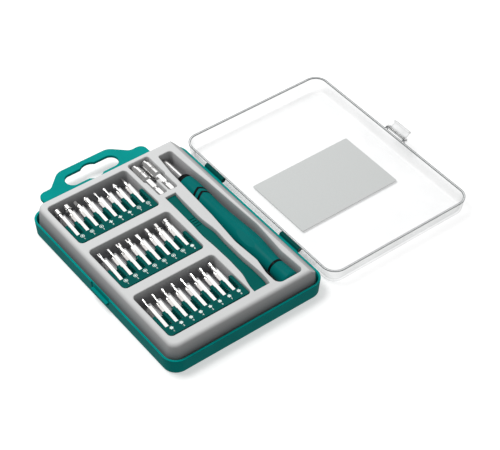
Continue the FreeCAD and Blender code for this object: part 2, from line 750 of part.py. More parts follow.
# Name, tip and the radius where the tip meets the shank, from -Y to +Y in each rack.
RACK_BITS = [
    [
        ("nut_3_bit", nut_tip(2.0, 2.5), 1.24),
        ("nut_4_bit", nut_tip(2.25, 3.0), 1.4),
        ("square_2_bit", prism_tip(4, 1.5), 1.5),
        ("cross_2_bit", cross_tip(1.85), 1.85),
        ("cross_000_bit", cross_tip(0.6), 0.6),
        ("cross_00_bit", cross_tip(0.8), 0.8),
        ("spear_bit", spear_tip(3.0), 1.05),
        ("triangle_bit", prism_tip(3, 1.25), 1.25),
    ],
    [
        ("fork_small_bit", fork_tip(1.0, 0.6), 0.9),
        ("slot_10_bit", blade_tip(1.2, 0.35), 0.54),
        ("fork_wide_bit", fork_tip(1.6, 0.9), 1.44),
        ("fork_large_bit", fork_tip(1.5, 1.1), 1.35),
        ("slot_20_bit", blade_tip(2.0, 0.4), 0.9),
        ("hex_25_bit", prism_tip(6, 1.45), 1.45),
        ("hex_30_bit", prism_tip(6, 1.7), 1.7),
        ("star_15_bit", star_tip(1.8), 1.95),
    ],
    [
        ("star_3_bit", star_tip(0.6), 0.65),
        ("star_4_bit", star_tip(0.68), 0.74),
        ("star_5_bit", star_tip(0.75), 0.81),
        ("star_6_bit", star_tip(0.85), 0.92),
        ("five_lobe_1_bit", star_tip(0.6, 5), 0.65),
        ("star_7_bit", star_tip(0.95), 1.03),
        ("star_8_bit", star_tip(1.05), 1.14),
        ("star_10_bit", star_tip(1.2), 1.3),
    ],
]


def placed_bit(tip, neck_radius, rack, slot):
    bit = tip.fuse(shank(neck_radius)).removeSplitter()
    rear = rack_origin(rack) + RACK_POCKET_LENGTH - RACK_END_GAP - BAR_DEPTH + BIT_SINK
    y = RACK_POCKET_Y + BIT_PITCH * (slot - (BITS_PER_RACK - 1) / 2)
    bit = place(bit, (rear - BIT_LENGTH, y, BIT_AXIS_Z))
    bit.rotate(Vector(rear - BIT_LENGTH / 2, y, BIT_AXIS_Z), Y_AXIS, BIT_TILT_DEG)
    return bit


# ---- racks ----
def bit_rack(index):
    back = rack_origin(index) + RACK_POCKET_LENGTH - RACK_END_GAP
    root = back - BAR_DEPTH
    front = root - FINGER_LENGTH
    low = RACK_POCKET_FLOOR + RACK_LIFT
    half = RACK_SPAN / 2
    middle = ((front + back) / 2, RACK_POCKET_Y)
    outline = rounded_wire(
        rectangle((back - front) / 2, half, middle),
        [FINGER_NOSE, RACK_CORNER, RACK_CORNER, FINGER_NOSE], low)
    block = prism(outline, RACK_TOP - low)
    corner = BIT_ACROSS_FLATS / math.sqrt(3)
    tilt = math.sin(math.radians(BIT_TILT_DEG))
    drop = tilt * BIT_LENGTH / 2
    slot_floor = BIT_AXIS_Z - corner - drop - BIT_CLEARANCE
    slot_width = BIT_PITCH - FINGER_WIDTH
    first = RACK_POCKET_Y - BIT_PITCH * (BITS_PER_RACK - 1) / 2
    for i in range(BITS_PER_RACK):
        y = first + i * BIT_PITCH
        slot = box(
            (front - 1.0, y - slot_width / 2, slot_floor),
            (root + BIT_SINK + BIT_CLEARANCE + tilt * corner, y + slot_width / 2, RACK_TOP + 1.0))
        block = block.cut(slot)
    block = block.removeSplitter()
    return block.makeFillet(FINGER_EDGE, edges_at(block, RACK_TOP))


# ---- adapters ----
def adapter_body(y):
    head_end = ADAPTER_HEAD_LENGTH
    profile = [
        (0.0, ADAPTER_NOSE - 0.6), (0.6, ADAPTER_NOSE), (3.0, ADAPTER_NOSE), (3.6, ADAPTER_HEAD),
        (9.0, ADAPTER_HEAD), (9.3, ADAPTER_HEAD - ADAPTER_GROOVE), (10.6, ADAPTER_HEAD - ADAPTER_GROOVE),
        (10.9, ADAPTER_HEAD), (head_end - 1.6, ADAPTER_HEAD), (head_end, ADAPTER_HEAD - 1.0),
        (head_end + 0.5, ADAPTER_SHANK_FLATS / 2),
    ]
    head = along_x(profile)
    corner = ADAPTER_SHANK_FLATS / math.sqrt(3)
    stem = hexagon(ADAPTER_SHANK_FLATS, head_end, ADAPTER_LENGTH)
    stem = stem.common(along_x([
        (head_end, corner), (ADAPTER_LENGTH - 0.8, corner), (ADAPTER_LENGTH, corner - 0.8)]))
    notch_start = ADAPTER_LENGTH - ADAPTER_NOTCH_START
    notch = rod(corner + 0.5, notch_start, notch_start + ADAPTER_NOTCH)
    notch = notch.cut(rod(corner - GROOVE_FLATS, notch_start - 1.0, notch_start + ADAPTER_NOTCH + 1.0))
    socket = hexagon(BIT_ACROSS_FLATS + 2 * SOCKET_CLEARANCE, -0.1, SOCKET_DEPTH)
    seat = rod(MAGNET_RADIUS, SOCKET_DEPTH - 0.1, SOCKET_DEPTH + MAGNET_LENGTH)
    body = head.fuse(stem.cut(notch)).cut(socket).cut(seat).removeSplitter()
    return place(body, (ADAPTER_X, y, ADAPTER_Z))


def adapter_magnet(y):
    return place(rod(MAGNET_RADIUS, SOCKET_DEPTH, SOCKET_DEPTH + MAGNET_LENGTH), (ADAPTER_X, y, ADAPTER_Z))


def adapter_ring(y):
    """Split spring ring that lies in the groove of the adapter's head."""
    inner = ADAPTER_HEAD - ADAPTER_GROOVE
    ring = rod(inner + ADAPTER_RING, 9.45, 10.45).cut(rod(inner, 9.4, 10.5))
    ring = ring.cut(box((9.0, -0.4, inner - 1.0), (11.0, 0.4, inner + 1.0)))
    return place(ring, (ADAPTER_X, y, ADAPTER_Z))


# ---- driver ----
def on_driver(shape):
    return place(shape, (0, DRIVER_Y, DRIVER_Z))


def driver_shaft():
    shaft = along_x([
        (0.0, SHAFT_RADIUS - 0.4), (0.4, SHAFT_RADIUS), (SHAFT_LENGTH - 0.4, SHAFT_RADIUS),
        (SHAFT_LENGTH, SHAFT_RADIUS - 0.4)], DRIVER_START)
    socket = hexagon(
        BIT_ACROSS_FLATS + 2 * SOCKET_CLEARANCE, DRIVER_START - 0.1, DRIVER_START + SOCKET_DEPTH)
    seat = rod(
        MAGNET_RADIUS, DRIVER_START + SOCKET_DEPTH - 0.1, DRIVER_START + SOCKET_DEPTH + MAGNET_LENGTH)
    return on_driver(shaft.cut(socket).cut(seat))


def driver_magnet():
    start = DRIVER_START + SOCKET_DEPTH
    return on_driver(rod(MAGNET_RADIUS, start, start + MAGNET_LENGTH))


def driver_collar():
    collar = along_x([
        (0.0, COLLAR_NOSE_RADIUS), (1.0, COLLAR_RADIUS - 0.4), (2.2, COLLAR_RADIUS),
        (COLLAR_LENGTH, COLLAR_RADIUS)], COLLAR_START)
    return on_driver(collar.cut(rod(SHAFT_RADIUS, COLLAR_START - 1.0, GRIP_START + 1.0)))


def grip_radius(x):
    """Outer radius of the grip: a nose behind the collar, a waist, a full belly and a slim rear."""
    knots = [
        (0.0, GRIP_START_RADIUS),
        (GRIP_SHOULDER / GRIP_LENGTH, GRIP_NOSE_RADIUS),
        (GRIP_WAIST / GRIP_LENGTH, GRIP_WAIST_RADIUS),
        (GRIP_BELLY / GRIP_LENGTH, GRIP_MAX_RADIUS),
        (1.0, GRIP_REAR_RADIUS),
    ]
    return eased(knots, min((x - GRIP_START) / GRIP_LENGTH, 1.0))


def band(start, outer):
    """Ring whose edges sweep into a chevron on top and below, from its depth out to outer."""
    reach = GRIP_MAX_RADIUS + 1.0
    width = BAND_WIDTH / 2
    arms = [(start, 0.0), (start + BAND_SWEEP, reach)]
    points = [(x + width, y) for x, y in arms] + [(x - width, y) for x, y in reversed(arms)]
    flat = [Vector(x, y, -reach) for x, y in points]
    arm = Part.Face(Part.makePolygon(flat + flat[:1])).extrude(Vector(0, 0, 2 * reach))
    chevron = arm.fuse(arm.mirror(Vector(0, 0, 0), Y_AXIS)).removeSplitter()
    inner = grip_radius(start) - BAND_DEPTH
    ends = (start - width - 1.0, start + BAND_SWEEP + width + 1.0)
    return rod(outer, *ends).cut(rod(inner, ends[0] - 1.0, ends[1] + 1.0)).common(chevron)


def driver_grip():
    stations = [GRIP_START + GRIP_LENGTH * i / GRIP_STATIONS for i in range(GRIP_STATIONS + 1)]
    profile = [(x, grip_radius(x)) for x in stations]
    grip = along_x(profile)
    for start in BAND_STARTS:
        grip = grip.cut(band(start, GRIP_MAX_RADIUS + 1.0))
    for i in range(GRIP_FLATS):
        side = grip_flat()
        side.rotate(Vector(0, 0, 0), X_AXIS, 360.0 * (i + 0.5) / GRIP_FLATS)
        grip = grip.cut(side)
    grip = grip.cut(rod(SHAFT_RADIUS, GRIP_START - 1.0, DRIVER_START + SHAFT_LENGTH))
    grip = grip.cut(rod(PIVOT_RADIUS, GRIP_END - PIVOT_LENGTH / 2, GRIP_END + 1.0))
    return on_driver(grip)


def grip_flat():
    """Long shallow scoop that leaves one flat along the grip, fading out at both ends."""
    middle = (GRIP_FLAT_START + GRIP_FLAT_END) / 2
    half = (GRIP_FLAT_END - GRIP_FLAT_START) / 2
    floor = GRIP_MAX_RADIUS - GRIP_FLAT_DEPTH
    ends = GRIP_MAX_RADIUS + 0.6
    arc = Part.Arc(
        Vector(middle - half, 0, ends), Vector(middle, 0, floor), Vector(middle + half, 0, ends))
    top = [Vector(middle + half, 0, ends + 1.0), Vector(middle - half, 0, ends + 1.0)]
    sides = [Part.LineSegment(arc.EndPoint, top[0]), Part.LineSegment(top[0], top[1]),
             Part.LineSegment(top[1], arc.StartPoint)]
    face = Part.Face(Part.Wire([arc.toShape()] + [s.toShape() for s in sides]))
    width = 2 * GRIP_MAX_RADIUS
    return place(face.extrude(Vector(0, width, 0)), (0, -width / 2, 0))


def grip_band(start):
    return on_driver(band(start, grip_radius(start) + BAND_PROUD))


def cap_ring():
    ring = rod(GRIP_REAR_RADIUS + 0.05, GRIP_END, GRIP_END + RING_WIDTH)
    return on_driver(ring.cut(rod(PIVOT_RADIUS, GRIP_END - 1.0, GRIP_END + RING_WIDTH + 1.0)))


def cap_pivot():
    start = GRIP_END - PIVOT_LENGTH / 2
    return on_driver(rod(PIVOT_RADIUS, start, start + PIVOT_LENGTH))


def swivel_cap():
    steps = 6
    profile = [(0.0, CAP_NECK_RADIUS - 0.2), (0.4, CAP_NECK_RADIUS), (CAP_LENGTH / 2, CAP_RADIUS - 0.2)]
    for i in range(steps + 1):
        angle = math.pi / 2 * i / steps
        profile.append((CAP_LENGTH - CAP_ROUND + CAP_ROUND * math.sin(angle),
                        CAP_RADIUS - CAP_ROUND + CAP_ROUND * math.cos(angle)))
    cap = along_x(profile, CAP_START)
    bore_end = GRIP_END + PIVOT_LENGTH / 2 + 0.3
    return on_driver(cap.cut(rod(PIVOT_RADIUS + PIVOT_CLEARANCE, CAP_START - 1.0, bore_end)))


# ---- pry tool ----
def pry_section(x):
    """Rounded cross-section of the pry tool at x, as a closed wire across X."""
    share = pry_share(x)
    base = PRY_TOP - PRY_THICKNESS
    low = base + eased(PRY_UNDERSIDE, share)
    high = base + eased(PRY_UPPER_SIDE, share)
    near = PRY_Y - eased(PRY_LOW_FLANK, share)
    far = PRY_Y + eased(PRY_HIGH_FLANK, share)
    middle = ((near + far) / 2, (low + high) / 2)
    outline = rectangle((far - near) / 2, (high - low) / 2, middle)
    flat = rounded_wire(outline, PRY_ROUND * (high - low), 0.0)
    flat.rotate(Vector(0, 0, 0), Vector(1, 1, 1), 120)
    return place(flat, (x, 0, 0))


def pry_tool():
    """Pry tool with rounded flanks, thinning to a blade at -X and a broad spade at +X."""
    length = PRY_END - PRY_START
    stations = [PRY_START + length * i / PRY_SECTIONS for i in range(PRY_SECTIONS + 1)]
    tool = Part.makeLoft([pry_section(x) for x in stations], True, True)
    for i in range(PRY_RINGS):
        x = PRY_START + PRY_RING_START + i * PRY_RING_PITCH
        groove_top = eased(PRY_UPPER_SIDE, pry_share(x)) - PRY_RING_DEPTH
        low = PRY_TOP - PRY_THICKNESS + groove_top
        reach = 2 * PRY_THICKNESS
        tool = tool.cut(box(
            (x, PRY_Y - reach, low), (x + PRY_RING_WIDTH, PRY_Y + reach, PRY_TOP + 1.0)))
    return tool.removeSplitter()


# ---- write the parts ----
def build():
    parts = {
        "base_tray": base_tray(),
        "insert_tray": insert_tray(),
        "lid": lid(),
        "label_card": label_card(),
        "latch_clip": latch_clip(),
        "latch_pin": latch_pin(),
    }
    for index in range(RACK_COUNT):
        parts[f"bit_rack_{index + 1}"] = bit_rack(index)
        for slot, (name, tip, neck_radius) in enumerate(RACK_BITS[index]):
            parts[name] = placed_bit(tip, neck_radius, index, slot)
    for number in range(2):
        y = ADAPTER_FIRST_Y + number * ADAPTER_PITCH
        parts[f"adapter_{number + 1}_body"] = adapter_body(y)
        parts[f"adapter_{number + 1}_magnet"] = adapter_magnet(y)
        parts[f"adapter_{number + 1}_ring"] = adapter_ring(y)
    parts["driver_shaft"] = driver_shaft()
    parts["driver_magnet"] = driver_magnet()
    parts["driver_collar"] = driver_collar()
    parts["driver_grip"] = driver_grip()
    parts["grip_band_front"] = grip_band(BAND_STARTS[0])
    parts["grip_band_rear"] = grip_band(BAND_STARTS[1])
    parts["cap_ring"] = cap_ring()
    parts["cap_pivot"] = cap_pivot()
    parts["swivel_cap"] = swivel_cap()
    parts["pry_tool"] = pry_tool()
    return parts


def main():
    os.makedirs("parts", exist_ok=True)
    for name, shape in build().items():
        solids = shape.Solids
        if not shape.isValid() or not solids:
            raise ValueError(f"{name} is not a valid solid")
        solid = solids[0] if len(solids) == 1 else Part.makeCompound(solids)
        solid.exportStep(f"parts/{name}.step")
        size = solid.BoundBox
        print(f"{name}: {len(solids)} solid, {solid.Volume:.1f} mm3, "
              f"x {size.XMin:.1f}..{size.XMax:.1f} y {size.YMin:.1f}..{size.YMax:.1f} "
              f"z {size.ZMin:.1f}..{size.ZMax:.1f}")


if __name__ == "__main__":
    main()
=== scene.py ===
"""Looks of a boxed precision screwdriver set, laid out as a Blender add-on and run as a script."""

import math

import bpy
from bpy.props import FloatProperty, FloatVectorProperty, PointerProperty
from mathutils import Matrix, Vector


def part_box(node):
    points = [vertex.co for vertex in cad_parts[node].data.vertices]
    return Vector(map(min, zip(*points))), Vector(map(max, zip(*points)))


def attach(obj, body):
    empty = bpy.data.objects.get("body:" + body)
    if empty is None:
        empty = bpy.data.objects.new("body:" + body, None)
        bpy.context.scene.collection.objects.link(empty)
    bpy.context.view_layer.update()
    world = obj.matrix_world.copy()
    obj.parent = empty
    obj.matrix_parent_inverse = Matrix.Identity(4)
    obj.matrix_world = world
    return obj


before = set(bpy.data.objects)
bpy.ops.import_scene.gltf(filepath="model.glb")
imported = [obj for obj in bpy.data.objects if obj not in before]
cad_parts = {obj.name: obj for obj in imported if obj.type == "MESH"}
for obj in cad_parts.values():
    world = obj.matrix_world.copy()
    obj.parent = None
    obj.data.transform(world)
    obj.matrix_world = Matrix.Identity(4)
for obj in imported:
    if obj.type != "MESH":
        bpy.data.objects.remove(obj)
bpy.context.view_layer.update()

bl_info = {
    "name": "Boxed precision screwdriver set",
    "version": (1, 0, 0),
    "blender": (4, 5, 0),
    "location": "3D View > Sidebar > Driver Set",
    "description": "Finishes and printed marks for a boxed precision screwdriver set",
    "category": "Object",
}

MM = 0.001

# sRGB colours of the finishes
TEAL_CASE = "#00928D"
TEAL_RACK = "#00524E"
TEAL_GRIP = "#006A68"
TEAL_PRY = "#005B56"
TEAL_DEEP = "#005955"
# Teal of the painted shade on the hinge knuckles
TEAL_KNUCKLE_PAINTED_SHADE = "#004642"
GREY_INSERT = "#CFD0D0"
GREY_INSERT_SHADE = "#C6C6C6"
# Grey of the painted shade on the insert's walls and in its pockets
GREY_INSERT_PAINTED_SHADE = "#A2A2A4"
# Grey of the clear clip's own tint, and of the painted reflection lines on the lid's rim
CLEAR_GREY_AND_PAINTED_EDGE_REFLECTION = "#6E7374"
CLEAR_BODY = "#C9CDCE"
CARD_GREY = "#CDCFCE"
CARD_FLECK = "#C5C8C7"
STEEL_LIGHT = "#E6E5E4"
STEEL_WORN = "#DAD8D6"
STEEL_DARK = "#C9C7C4"
CHROME = "#E9E9E9"
MAGNET_GREY = "#8C8C8E"
BLACK_ABS = "#0E1112"
BLACK_WORN = "#1B1F20"
INK_WHITE = "#E9F4F0"
FLOOR_WHITE = "#CFCFCF"
FLOOR_SHADE = "#CCCCCC"

# Heights below the insert's top where its painted shade begins to deepen and where it is deepest
INSERT_SHADE_START = 0.3 * MM
INSERT_SHADE_END = 9.0 * MM

# The lid's rim in the open place: half sizes, corner and wall of its outline
LID_HALF = (80.0 * MM, 59.5 * MM)
LID_CORNER = 10.0 * MM
LID_WALL = 1.4 * MM
LID_MIDDLE_Y = 123.0 * MM
LID_DEPTH = 11.8 * MM
# Half widths of the painted reflection lines along the rim's outer and inner edges, and how far down the wall
# they reach
OUTER_PAINTED_LINE = 0.7 * MM
INNER_PAINTED_LINE = 0.55 * MM
LINE_FULL = 0.3 * MM
LINE_END = 0.9 * MM
# The case base's hinge wall ends here, and its knuckles stand beyond it, darkened with painted shade
KNUCKLE_START = 59.6 * MM
KNUCKLE_SHADE_FADE = 0.3 * MM

# Shapes of the printed symbols, as shares of the mark radius
RING_RADIUS = 1.05
RING_WIDTH = 0.24
RING_SIDES = 24
STAR_RADIUS = 1.1
INNER_RADIUS = 0.6
HEX_RADIUS = 0.5
STAR_6_DEPTH = 0.7
STAR_5_DEPTH = 0.62
TRIANGLE_DEPTH = 0.5
DIGIT_WEIGHT = 0.02
# Share of the ink's thickness by which symbols sit lower and digits higher than the rack's top
INK_OFFSET = 0.25

FLOOR_SIZE = 6.0
FLOOR_DROP = 0.1 * MM

RACKS = (1, 2, 3)
BIT_NAMES = (
    ("nut_3_bit", "nut_4_bit", "square_2_bit", "cross_2_bit",
     "cross_000_bit", "cross_00_bit", "spear_bit", "triangle_bit"),
    ("fork_small_bit", "slot_10_bit", "fork_wide_bit", "fork_large_bit",
     "slot_20_bit", "hex_25_bit", "hex_30_bit", "star_15_bit"),
    ("star_3_bit", "star_4_bit", "star_5_bit", "star_6_bit",
     "five_lobe_1_bit", "star_7_bit", "star_8_bit", "star_10_bit"),
)


def linear(text):
    """An sRGB hex colour as the linear RGBA that shaders work in."""
    channels = [int(text[i:i + 2], 16) / 255 for i in (1, 3, 5)]
    return tuple(
        c / 12.92 if c <= 0.04045 else ((c + 0.055) / 1.055) ** 2.4 for c in channels) + (1.0,)


# ---- sizes and colours a user would change ----
class DriverSetSizes(bpy.types.PropertyGroup):
    mark_radius: FloatProperty(
        name="Mark radius", description="Radius of a drive symbol printed on a rack",
        default=1.3 * MM, unit="LENGTH")
    mark_height: FloatProperty(
        name="Mark height", description="Thickness of the printed ink", default=0.04 * MM, unit="LENGTH")
    mark_from_back: FloatProperty(
        name="Mark from back", description="Distance of the symbols from the rack's back face",
        default=5.3 * MM, unit="LENGTH")
    digit_from_back: FloatProperty(
        name="Digit from back", description="Distance of the size digits from the rack's back face",
        default=2.5 * MM, unit="LENGTH")
    digit_height: FloatProperty(
        name="Digit height", description="Height of a size digit", default=1.9 * MM, unit="LENGTH")


class DriverSetColours(bpy.types.PropertyGroup):
    case: FloatVectorProperty(
        name="Case", description="Teal of the case base", subtype="COLOR", size=4,
        default=linear(TEAL_CASE))
    insert: FloatVectorProperty(
        name="Insert", description="Pale grey of the insert", subtype="COLOR", size=4,
        default=linear(GREY_INSERT))
    rack: FloatVectorProperty(
        name="Racks", description="Teal of the bit racks", subtype="COLOR", size=4,
        default=linear(TEAL_RACK))
    grip: FloatVectorProperty(
        name="Grip", description="Teal of the driver's grip", subtype="COLOR", size=4,
        default=linear(TEAL_GRIP))
    pry: FloatVectorProperty(
        name="Pry tool", description="Teal of the pry tool", subtype="COLOR", size=4,
        default=linear(TEAL_PRY))
    ink: FloatVectorProperty(
        name="Ink", description="Ink of the rack marks", subtype="COLOR", size=4,
        default=linear(INK_WHITE))


class DriverSetStage(bpy.types.PropertyGroup):
    azimuth: FloatProperty(
        name="Azimuth", description="Turn of the camera about the upright axis",
        default=math.radians(51.94), subtype="ANGLE")
    elevation: FloatProperty(
        name="Elevation", description="Height of the camera over the table as an angle",
        default=math.radians(44.7), subtype="ANGLE")
    roll: FloatProperty(
        name="Roll", description="Tilt of the camera about its own axis",
        default=math.radians(0.85), subtype="ANGLE")
    distance: FloatProperty(
        name="Distance", description="Camera to aim point", default=1.047, unit="LENGTH")
    aim: FloatVectorProperty(
        name="Aim point", description="Point on the table that the camera looks at",
        default=(0.00357, 0.05740, 0.0), subtype="TRANSLATION", size=3)
    lens: FloatProperty(name="Lens", description="Focal length in millimetres", default=115.0)
    key_power: FloatProperty(
        name="Key light", description="Power of the large key light in watts", default=9.0)
    key_size: FloatProperty(
        name="Key light size", description="Side of the key light", default=0.5, unit="LENGTH")
    key_place: FloatVectorProperty(
        name="Key light place", description="Key light's place from the aim point",
        default=(-0.35, -0.30, 1.00), subtype="TRANSLATION", size=3)
    window_power: FloatProperty(
        name="Window light", description="Power of the wide light that the steel reflects, in watts",
        default=2.8)
    window_size: FloatProperty(
        name="Window light size", description="Side of the window light", default=0.9, unit="LENGTH")
    window_place: FloatVectorProperty(
        name="Window light place", description="Window light's place from the aim point",
        default=(-0.67, 0.53, 0.85), subtype="TRANSLATION", size=3)
    world_strength: FloatProperty(
        name="Surround", description="Strength of the even white surround", default=0.32)
    table_glow: FloatProperty(
        name="Table glow", description="Light given off by the light table", default=0.5)


# ---- materials ----
def add_node(tree, kind, settings=None, links=None):
    """Add a node, set its values and sockets, and link its inputs from other nodes or sockets."""
    node = tree.nodes.new(kind)
    for key, value in (settings or {}).items():
        if isinstance(key, str) and hasattr(node, key):
            setattr(node, key, value)
        else:
            node.inputs[key].default_value = value
    for key, source in (links or {}).items():
        tree.links.new(source.outputs[0] if isinstance(source, bpy.types.Node) else source, node.inputs[key])
    return node


def new_material(name, values):
    """A material with one Principled shader, whose even values are set on its own sockets."""
    material = bpy.data.materials.new(name)
    material.use_nodes = True
    tree = material.node_tree
    tree.nodes.clear()
    surface = add_node(tree, "ShaderNodeBsdfPrincipled", values)
    add_node(tree, "ShaderNodeOutputMaterial", links={"Surface": surface})
    place = add_node(tree, "ShaderNodeTexCoord").outputs["Object"]
    return material, tree, surface, place


def give(material, *names):
    """Put one material on every slot of the named CAD nodes."""
    for name in names:
        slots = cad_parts[name].data.materials
        slots.clear()
        slots.append(material)


def patches(tree, place, size_mm, low=0.35, high=0.7, to_low=0.0, to_high=1.0):
    """Soft patches of a real size, spread between two values."""
    cloud = add_node(
        tree, "ShaderNodeTexNoise", {"Scale": 1 / (size_mm * MM), "Detail": 3.0}, {"Vector": place})
    return add_node(
        tree, "ShaderNodeMapRange",
        {"From Min": low, "From Max": high, "To Min": to_low, "To Max": to_high}, {"Value": cloud})


def between(tree, surface, factor, light, dark):
    """Colour a surface between two tones, each a colour or the socket that gives one."""
    tones = {6: light, 7: dark}
    linked = {key: tone for key, tone in tones.items() if isinstance(tone, bpy.types.NodeSocket)}
    plain = {key: tone for key, tone in tones.items() if key not in linked}
    mixed = add_node(tree, "ShaderNodeMix", {"data_type": "RGBA", **plain}, {0: factor, **linked})
    tree.links.new(mixed.outputs[2], surface.inputs["Base Color"])


def colour_of(surface):
    """The socket that colours a surface."""
    return surface.inputs["Base Color"].links[0].from_socket


def grained(tree, surface, place, roughness, grain_mm, depth, edge_mm):
    """Fine moulded grain in roughness and bump, over edges softened by edge_mm."""
    grain = add_node(
        tree, "ShaderNodeTexNoise",
        {"Scale": 1 / (grain_mm * MM), "Detail": 2.0, "Roughness": 0.6}, {"Vector": place})
    uneven = add_node(
        tree, "ShaderNodeMapRange",
        {"From Min": 0.3, "From Max": 0.7, "To Min": roughness - 0.05, "To Max": roughness + 0.07},
        {"Value": grain})
    tree.links.new(uneven.outputs[0], surface.inputs["Roughness"])
    edges = add_node(tree, "ShaderNodeBevel", {"samples": 4, "Radius": edge_mm * MM})
    bump = add_node(
        tree, "ShaderNodeBump", {"Strength": depth, "Distance": 0.04 * MM},
        {"Height": grain, "Normal": edges})
    tree.links.new(bump.outputs[0], surface.inputs["Normal"])


def moulded_plastic(name, colour, shade, roughness, grain_mm, depth, edge_mm=0.25, gloss=0.03):
    """Injection-moulded plastic: a fine spark-eroded grain, faint flow mottling and soft edges."""
    material, tree, surface, place = new_material(name, {"IOR": 1.49, "Specular IOR Level": gloss})
    mottle = patches(tree, place, 18, low=0.35, high=0.8, to_low=0.0, to_high=0.3)
    between(tree, surface, mottle, tuple(colour), shade)
    grained(tree, surface, place, roughness, grain_mm, depth, edge_mm)
    return material, tree, surface, place


def bare_metal(name, light, dark, roughness, patch_mm):
    """Plated or ground steel: soft changes of tone and of polish along its length."""
    material, tree, surface, place = new_material(name, {"Metallic": 1.0})
    between(tree, surface, patches(tree, place, patch_mm), light, dark)
    polish = patches(
        tree, place, patch_mm / 3, low=0.3, high=0.7, to_low=roughness - 0.04, to_high=roughness + 0.06)
    tree.links.new(polish.outputs[0], surface.inputs["Roughness"])
    return material


def outline_distance(tree, place, half_x, half_y, corner, centre_y):
    """Distance in the plan view from a rounded rectangle's edge, negative inside it."""
    flat = add_node(tree, "ShaderNodeVectorMath", {"operation": "MULTIPLY", 1: (1.0, 1.0, 0.0)}, {0: place})
    centred = add_node(
        tree, "ShaderNodeVectorMath", {"operation": "SUBTRACT", 1: (0.0, centre_y, 0.0)}, {0: flat})
    folded = add_node(tree, "ShaderNodeVectorMath", {"operation": "ABSOLUTE"}, {0: centred})
    from_core = add_node(
        tree, "ShaderNodeVectorMath",
        {"operation": "SUBTRACT", 1: (half_x - corner, half_y - corner, 0.0)}, {0: folded})
    outside = add_node(
        tree, "ShaderNodeVectorMath", {"operation": "MAXIMUM", 1: (0.0, 0.0, 0.0)}, {0: from_core})
    length = add_node(tree, "ShaderNodeVectorMath", {"operation": "LENGTH"}, {0: outside})
    return add_node(
        tree, "ShaderNodeMath", {"operation": "SUBTRACT", 1: corner}, {0: length.outputs["Value"]})


def line_at(tree, distance, where, half_width):
    """One on a line at a distance, fading to zero at its sides."""
    gap = add_node(tree, "ShaderNodeMath", {"operation": "SUBTRACT", 1: where}, {0: distance})
    away = add_node(tree, "ShaderNodeMath", {"operation": "ABSOLUTE"}, {0: gap})
    return add_node(
        tree, "ShaderNodeMapRange",
        {"From Min": half_width * 0.5, "From Max": half_width, "To Min": 1.0, "To Max": 0.0}, {"Value": away})


def clear_plastic(name, roughness, faint, strong):
    """Clear plastic: faint where it is seen square on, grey where it is seen along its walls."""
    material, tree, surface, place = new_material(name, {"IOR": 1.58, "Roughness": roughness})
    facing = add_node(tree, "ShaderNodeLayerWeight", {"Blend": 0.35}).outputs["Facing"]
    haze = add_node(
        tree, "ShaderNodeMapRange",
        {"From Min": 0.15, "From Max": 0.95, "To Min": faint, "To Max": strong}, {"Value": facing})
    flow = patches(tree, place, 26, low=0.3, high=0.7, to_low=0.8, to_high=1.2)
    body = add_node(tree, "ShaderNodeMath", {"operation": "MULTIPLY"}, {0: haze, 1: flow})
    return material, tree, surface, place, body


# ---- new pieces ----
def only(obj):
    """Select one object alone and make it active."""
    bpy.ops.object.select_all(action="DESELECT")
    obj.select_set(True)
    bpy.context.view_layer.objects.active = obj


def start(added):
    """Name the object an add operator has just made and leave it alone in the selection."""
    obj = bpy.context.active_object
    obj.name = added
    only(obj)
    return obj


def thicken(height):
    """Give a flat shape in edit mode its height."""
    bpy.ops.mesh.select_all(action="SELECT")
    bpy.ops.mesh.extrude_region_move(TRANSFORM_OT_translate={"value": (0, 0, height)})
    bpy.ops.mesh.select_all(action="SELECT")
    bpy.ops.mesh.normals_make_consistent(inside=False)


def ring_mark(at, radius, height):
    """A flat ring."""
    bpy.ops.mesh.primitive_circle_add(vertices=RING_SIDES, radius=radius, fill_type="NGON", location=at)
    mark = start("ring_mark")
    bpy.ops.object.mode_set(mode="EDIT")
    bpy.ops.mesh.select_all(action="SELECT")
    bpy.ops.mesh.inset(thickness=radius * RING_WIDTH)
    bpy.ops.mesh.delete(type="FACE")
    thicken(height)
    bpy.ops.object.mode_set(mode="OBJECT")
    return mark


def star_mark(at, radius, height, points, depth):
    """A star whose inner corners stand at depth, as a share of its radius."""
    bpy.ops.mesh.primitive_circle_add(vertices=2 * points, radius=radius, fill_type="NGON", location=at)
    mark = start("star_mark")
    bpy.ops.object.mode_set(mode="EDIT")
    bpy.ops.mesh.select_all(action="DESELECT")
    bpy.ops.object.mode_set(mode="OBJECT")
    for index, vertex in enumerate(mark.data.vertices):
        vertex.select = index % 2 == 1
    bpy.ops.object.mode_set(mode="EDIT")
    bpy.ops.transform.resize(value=(depth, depth, 1.0))
    thicken(height)
    bpy.ops.object.mode_set(mode="OBJECT")
    return mark


def cross_mark(at, radius, height):
    """A plus sign: a three by three grid without its corners."""
    bpy.ops.mesh.primitive_grid_add(x_subdivisions=3, y_subdivisions=3, size=2 * radius, location=at)
    mark = start("cross_mark")
    bpy.ops.object.mode_set(mode="EDIT")
    bpy.ops.mesh.select_mode(type="FACE")
    bpy.ops.mesh.select_all(action="DESELECT")
    bpy.ops.object.mode_set(mode="OBJECT")
    for polygon in mark.data.polygons:
        polygon.select = min(abs(polygon.center.x), abs(polygon.center.y)) > radius / 3
    bpy.ops.object.mode_set(mode="EDIT")
    bpy.ops.mesh.delete(type="FACE")
    thicken(height)
    bpy.ops.mesh.select_mode(type="VERT")
    bpy.ops.object.mode_set(mode="OBJECT")
    return mark


def digit_mark(at, text, size, height):
    """A digit that reads along the rack's length."""
    bpy.ops.object.text_add(location=at, rotation=(0, 0, math.radians(90)))
    mark = start("digit_mark")
    mark.data.body = text
    mark.data.size = size
    mark.data.align_x = "CENTER"
    mark.data.align_y = "CENTER"
    mark.data.extrude = height / 2
    mark.data.offset = size * DIGIT_WEIGHT
    bpy.ops.object.convert(target="MESH")
    return bpy.context.active_object


